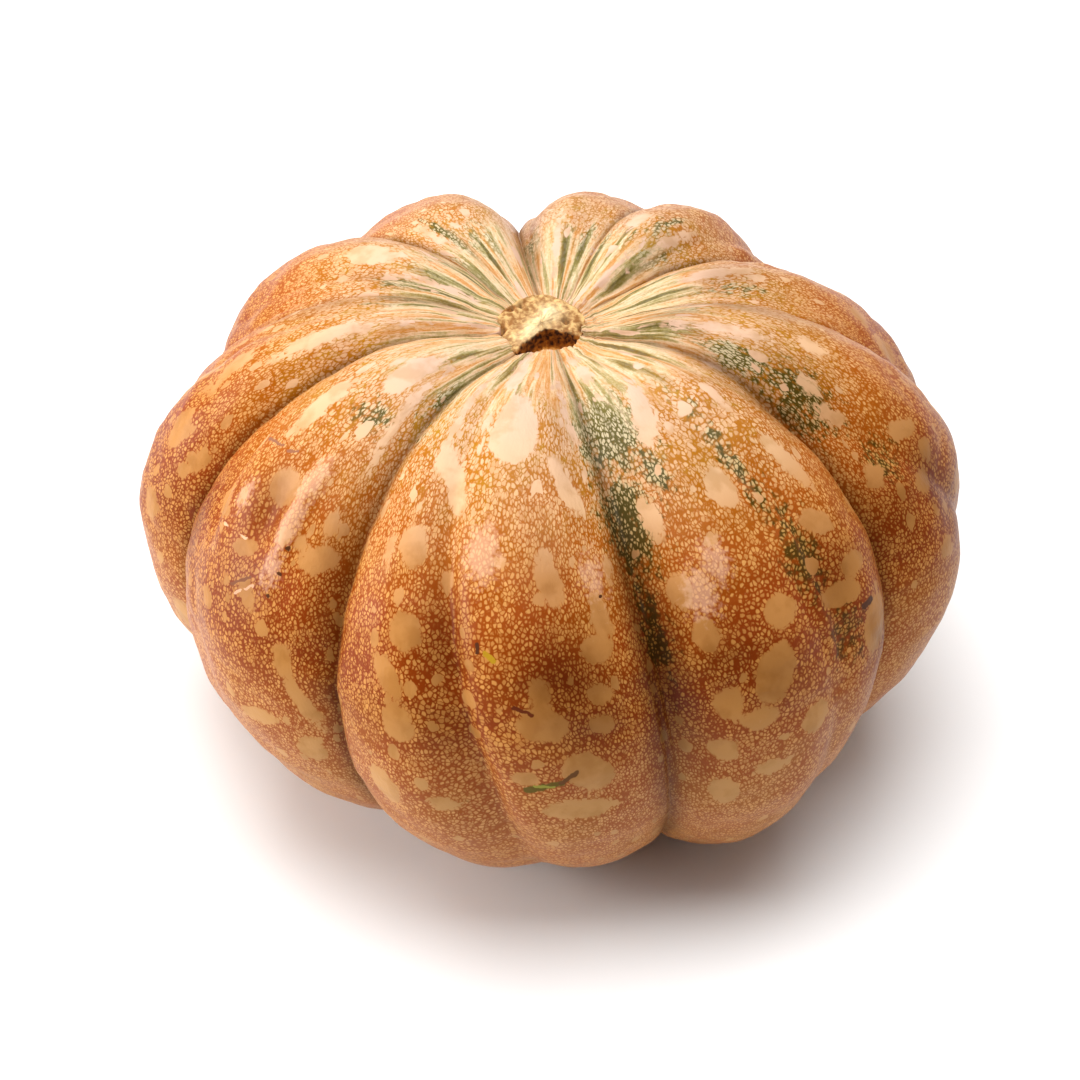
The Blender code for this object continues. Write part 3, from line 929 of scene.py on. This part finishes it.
brown_and_shade_cover = finish.attribute("brown_and_shade")
streak_place = finish.vector("MULTIPLY", raw_grain, STREAK_STRETCH)
streak_tone = finish.math("SUBTRACT", finish.noise(streak_place, STREAK_SIZE, 5), STREAK_SHIFT)
streak_specks = finish.noise(finish.place, STREAK_SPECK_SIZE, 2)
streak_tone = finish.scaled(streak_specks, STREAK_SPECK_WEIGHT, streak_tone)
streak_tone = finish.scaled(greenness, STREAK_GREEN_WEIGHT, streak_tone)
streak_tone = finish.scaled(brown_and_shade_cover, STREAK_BROWN_AND_SHADE_WEIGHT, streak_tone)
streaks = finish.gradient(streak_tone, [
    (0.28, (0.09, 0.065, 0.014)),
    (0.34, (0.19, 0.145, 0.032)),
    (0.41, (0.41, 0.33, 0.15)),
    (0.46, (0.72, 0.52, 0.34)),
    (0.52, (0.68, 0.43, 0.23)),
    (0.58, (0.52, 0.20, 0.03)),
    (0.66, (0.64, 0.38, 0.19)),
])
streak_end = finish.noise(streak_place, STREAK_SPECK_SIZE, 2)
streak_end = finish.scaled(streak_end, STREAK_END_RAGGEDNESS, down)
streaky = finish.step(streak_end, *STREAK_END)

ground = finish.mix(finish.scaled(streaky, STREAK_GROUND_STRENGTH), ground, streaks)
speck = finish.mix(finish.scaled(streaky, STREAK_SPECK_STRENGTH), speck, streaks)
net = finish.math("MULTIPLY", line, finish.math("SUBTRACT", 1, in_blotch))
colour = finish.mix(net, finish.mix(in_blotch, speck, blotch_tone), ground)

# What lies over the net: browner patches that are partly painted shade, pink patches of painted sheen, the
# marks, painted shade in the deep furrows and the blossom scar.
BROWN_AND_SHADE_STRENGTH = 0.85
BROWN_AND_SHADE_TINT = (0.34, 0.26, 0.17, 1)
SHEEN_PEBBLE_SIZE = 1.6 * MM
SHEEN_PEBBLE_WEIGHT = 1.1
SHEEN_PEBBLE_RANGE = (0.75, 1.25)
PAINTED_SHEEN_STRENGTH = 0.42
PAINTED_SHEEN_PINK = (0.76, 0.46, 0.30, 1)
MARK_WOBBLE = 1.6 * MM
MARK_WOBBLE_SIZE = 2 * MM
MARK_EDGE = (1.25, 0.75)
FURROW_SHADE_EDGE = (0.60, 1.0)
FURROW_SHADE_STRENGTH = 0.65
FURROW_SHADE_TINT = (0.26, 0.21, 0.13, 1)
SCAR_COLOUR = (0.20, 0.10, 0.04, 1)

# Browner patches, partly painted shade.
colour = finish.mix(finish.scaled(brown_and_shade_cover, BROWN_AND_SHADE_STRENGTH), colour, BROWN_AND_SHADE_TINT, "MULTIPLY")
# Painted sheen: pebbly pink highlights mixed into the colour.
sheen_pebbles = finish.noise(finish.place, SHEEN_PEBBLE_SIZE, 3)
painted_sheen_mask = finish.scaled(sheen_pebbles, SHEEN_PEBBLE_WEIGHT, finish.attribute("painted_sheen"))
painted_sheen_mask = finish.scaled(finish.step(painted_sheen_mask, *SHEEN_PEBBLE_RANGE), PAINTED_SHEEN_STRENGTH)
colour = finish.mix(painted_sheen_mask, colour, PAINTED_SHEEN_PINK)
mark_wobble = finish.noise(finish.place, MARK_WOBBLE_SIZE, 2, "Color")
mark_place = finish.vector("MULTIPLY_ADD", mark_wobble, (MARK_WOBBLE,) * 3, finish.place)
mark_place = finish.vector("SUBTRACT", mark_place, (MARK_WOBBLE / 2,) * 3)
for mark in MARKS:
    first = on_rind(mark.rib, mark.share, mark.polar)
    last = on_rind(mark.rib, mark.end_share, mark.end_polar)
    from_mark = finish.from_stroke(mark_place, first, last)
    in_mark = finish.step(from_mark, *[times * mark.half_width for times in MARK_EDGE])
    colour = finish.mix(in_mark, colour, (*mark.colour, 1))
# Painted shade in the deep furrows.
furrow_shade = finish.step(finish.attribute("furrow"), *FURROW_SHADE_EDGE)
colour = finish.mix(finish.scaled(furrow_shade, FURROW_SHADE_STRENGTH), colour, FURROW_SHADE_TINT, "MULTIPLY")
colour = finish.mix(finish.attribute("scar"), colour, SCAR_COLOUR)

# The sheen: a waxy surface with fine bumps.
RIND_ROUGHNESS = 0.38
RIND_SPECULAR = 0.10
BUMP_SIZE = 1.4 * MM
BUMP_HEIGHT = 0.25 * MM
BUMP_STRENGTH = 0.5

bumps = finish.nodes.new("ShaderNodeBump")
bumps.inputs["Strength"].default_value = BUMP_STRENGTH
bumps.inputs["Distance"].default_value = BUMP_HEIGHT
finish.feed(bumps.inputs["Height"], finish.noise(even_grain, BUMP_SIZE, 2))
finish.feed(finish.surface.inputs["Normal"], bumps.outputs["Normal"])
finish.feed(finish.surface.inputs["Base Color"], colour)
finish.surface.inputs["Roughness"].default_value = RIND_ROUGHNESS
finish.surface.inputs["Specular IOR Level"].default_value = RIND_SPECULAR
fruit.data.materials.append(finish.material)
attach(fruit, "root")
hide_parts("fruit")


# The stalk stub: the corky end of the dry stalk, torn off almost level with the rind, so its front is a
# dark fibrous hollow under a pale ridge. It grew into the crown, which closes up round it.
STUB_RADIUS = 13.1 * MM
STUB_CORNERS = 5
STUB_FIRST_CORNER = math.radians(32)
STUB_CORNER_SHARE = 0.045
STUB_FRONT_HEIGHT = 67.2 * MM
STUB_BACK_RISE = 2.9 * MM
STUB_BACK_RANGE = (-8 * MM, 9 * MM)
STUB_LEFT_DROP = 1.2 * MM
STUB_LEFT_RANGE = (8.5 * MM, 14 * MM)
STUB_FOOT = PIT_FLOOR - 1 * MM
STUB_COLUMNS = 192
STUB_ROWS = 130
STUB_ROW_SHARES = [0, 0.72, 0.88, 1]
STUB_SPREADS = [0, 1, 0.96, 0]
STUB_SUNK_SHARES = [0, 0, 1, 1]
RIDGE_START = Vector((3.0 * MM, 5 * MM))
RIDGE_END = Vector((-6.5 * MM, -8 * MM))
RIDGE_HEIGHT = 1.3 * MM
RIDGE_REACH = 3.2 * MM
RIDGE_PALE_REACH = 3.6 * MM
HOLLOW_PEAK = Vector((1.2 * MM, -1.4 * MM))
HOLLOW_DEPTH = 6.2 * MM
HOLLOW_FRONT_RISE = 0.35
HOLLOW_FRONT_REACH = 10 * MM
HOLLOW_WALL_RANGE = (-0.2 * MM, 0.9 * MM)
LEFT_WALL_WAY = (0.75, -0.66)
RIGHT_WALL_WAY = (-0.16, -0.99)
TEAR_FREQUENCY = 260
TEAR_SLICE = 3.7
TEAR_SMOOTHNESS = 1
TEAR_SCALING = 2
TEAR_OCTAVES = 4
TEAR_HEIGHT = 0.7 * MM
TEAR_RAGGEDNESS = 0.5 * MM
FIBRE_COUNT = 9
FIBRE_FREQUENCY = 120
FIBRE_HEIGHT = 0.3 * MM
StubPit = namedtuple("StubPit", "x y radius")
STUB_PITS = [
    StubPit(7.6 * MM, 2.2 * MM, 1.2 * MM),
    StubPit(12.6 * MM, -0.4 * MM, 1.1 * MM),
    StubPit(-12.2 * MM, -0.6 * MM, 1.7 * MM),
    StubPit(-9.0 * MM, 7.5 * MM, 1.3 * MM),
    StubPit(-6.2 * MM, 8.6 * MM, 1.0 * MM),
]
STUB_PIT_DEPTH = 2.2 * MM

bpy.ops.object.select_all(action="DESELECT")
bpy.ops.mesh.primitive_uv_sphere_add(segments=STUB_COLUMNS, ring_count=STUB_ROWS, radius=1)
stub = bpy.context.object
stub.name = "stub"
stub_ball = vertex_places(stub)
stub_row_share = np.arccos(np.clip(stub_ball[:, 2], -1, 1)) / math.pi
around = np.arctan2(stub_ball[:, 0], -stub_ball[:, 1])
spread = np.interp(stub_row_share, STUB_ROW_SHARES, STUB_SPREADS)
sunk = np.interp(stub_row_share, STUB_ROW_SHARES, STUB_SUNK_SHARES)
outline = 1 + STUB_CORNER_SHARE * np.cos(STUB_CORNERS * (around - STUB_FIRST_CORNER))
x = STUB_RADIUS * spread * outline * np.sin(around)
y = -STUB_RADIUS * spread * outline * np.cos(around)


def from_ridge():
    """Distance of each point from the line of the ridge."""
    run = RIDGE_END - RIDGE_START
    along_run = (x - RIDGE_START.x) * run.x + (y - RIDGE_START.y) * run.y
    passed = np.clip(along_run / run.length_squared, 0, 1)
    return np.hypot(x - RIDGE_START.x - passed * run.x, y - RIDGE_START.y - passed * run.y)


def beyond_wall(way):
    """How far each point lies from the peak of the hollow in a direction."""
    return (x - HOLLOW_PEAK.x) * way[0] + (y - HOLLOW_PEAK.y) * way[1]


tear = np.array([
    noise.fractal(Vector((px * TEAR_FREQUENCY, py * TEAR_FREQUENCY, TEAR_SLICE)),
                  TEAR_SMOOTHNESS, TEAR_SCALING, TEAR_OCTAVES)
    for px, py in zip(x, y)
])
fibres = np.array([
    noise.noise((math.sin(turn) * FIBRE_COUNT, math.cos(turn) * FIBRE_COUNT, out * FIBRE_FREQUENCY))
    for turn, out in zip(around, np.hypot(x, y))
])
pits = np.zeros(len(x))
for pit in STUB_PITS:
    pits += bell(np.hypot(x - pit.x, y - pit.y), pit.radius)
into_hollow = np.minimum(beyond_wall(LEFT_WALL_WAY), beyond_wall(RIGHT_WALL_WAY)) + TEAR_RAGGEDNESS * tear

top = STUB_FRONT_HEIGHT + STUB_BACK_RISE * smooth_step(y, *STUB_BACK_RANGE)
top += RIDGE_HEIGHT * bell(from_ridge(), RIDGE_REACH)
top -= STUB_LEFT_DROP * smooth_step(-x, *STUB_LEFT_RANGE)
top -= STUB_PIT_DEPTH * pits
floor_drop = 1 - HOLLOW_FRONT_RISE * smooth_step(-y, 0, HOLLOW_FRONT_REACH)
top -= HOLLOW_DEPTH * smooth_step(into_hollow, *HOLLOW_WALL_RANGE) * floor_drop
top += TEAR_HEIGHT * tear + FIBRE_HEIGHT * fibres
z = top + sunk * (STUB_FOOT - top)
shape = np.stack([x + STALK_CENTRE.x, y + STALK_CENTRE.y, z], axis=1) + np.array(WIDEST_CENTRE)
stub.data.vertices.foreach_set("co", shape.ravel())
bpy.ops.object.shade_smooth()

# How the torn end is coloured: tan cork; dark brown in the hollow, partly the torn fibres' own colour and
# partly painted shade, darkest at its wall under the rim; painted shade in the pits; paler along the ridge.
TORN_RANGE = (-0.5 * MM, 0)
OPEN_RANGE = (0.2 * MM, 1.6 * MM)
PIT_PAINTED_SHADE = 0.8
RIDGE_PALE_RANGE = (-12 * MM, 0)
RIDGE_PALE_STRENGTH = 0.8
RIDGE_LEAST_PALE = 0.6
RIDGE_TEAR_RANGE = (-0.3, 0.3)
CORK_GRAIN_SIZE = 1.6 * MM
CORK_GRAIN_RANGE = (0.35, 0.7)
CORK_DARK = (0.26, 0.11, 0.03, 1)
CORK_LIGHT = (0.66, 0.42, 0.17, 1)
CORK_PALE = (0.90, 0.72, 0.42, 1)
HOLLOW_GRAIN_SIZE = 1.3 * MM
HOLLOW_OPEN_LIGHT = 0.40
CORK_ROUGHNESS = 0.75
CORK_SPECULAR = 0.15

ridge_paleness = bell(from_ridge(), RIDGE_PALE_REACH) * smooth_step(y, *RIDGE_PALE_RANGE)
ridge_paleness *= RIDGE_LEAST_PALE + (1 - RIDGE_LEAST_PALE) * smooth_step(tear, *RIDGE_TEAR_RANGE)
# The darkness of the pits is painted shade.
keep(stub, "torn_and_shaded", np.maximum(smooth_step(into_hollow, *TORN_RANGE), PIT_PAINTED_SHADE * pits))
keep(stub, "open", smooth_step(into_hollow, *OPEN_RANGE))
keep(stub, "pale", ridge_paleness)

cork = Finish("dry_stalk")
grainy = cork.step(cork.noise(cork.place, CORK_GRAIN_SIZE, 4), *CORK_GRAIN_RANGE)
tan = cork.mix(grainy, CORK_DARK, CORK_LIGHT)
tan = cork.mix(cork.scaled(cork.attribute("pale"), RIDGE_PALE_STRENGTH), tan, CORK_PALE)
hollow_grain = cork.noise(cork.place, HOLLOW_GRAIN_SIZE, 3)
lit = cork.scaled(cork.attribute("open"), HOLLOW_OPEN_LIGHT, hollow_grain)
# Painted shade in the hollow: darkest at the wall under the rim, lighter where the hollow opens out.
brown_and_shade = cork.gradient(lit, [
    (0.40, (0.030, 0.008, 0.003)),
    (0.52, (0.160, 0.045, 0.006)),
    (0.75, (0.380, 0.130, 0.014)),
    (0.95, (0.520, 0.240, 0.060)),
])
cork.feed(cork.surface.inputs["Base Color"], cork.mix(cork.attribute("torn_and_shaded"), tan, brown_and_shade))
cork.surface.inputs["Roughness"].default_value = CORK_ROUGHNESS
cork.surface.inputs["Specular IOR Level"].default_value = CORK_SPECULAR
stub.data.materials.append(cork.material)
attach(stub, "root")
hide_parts("stalk_stub")
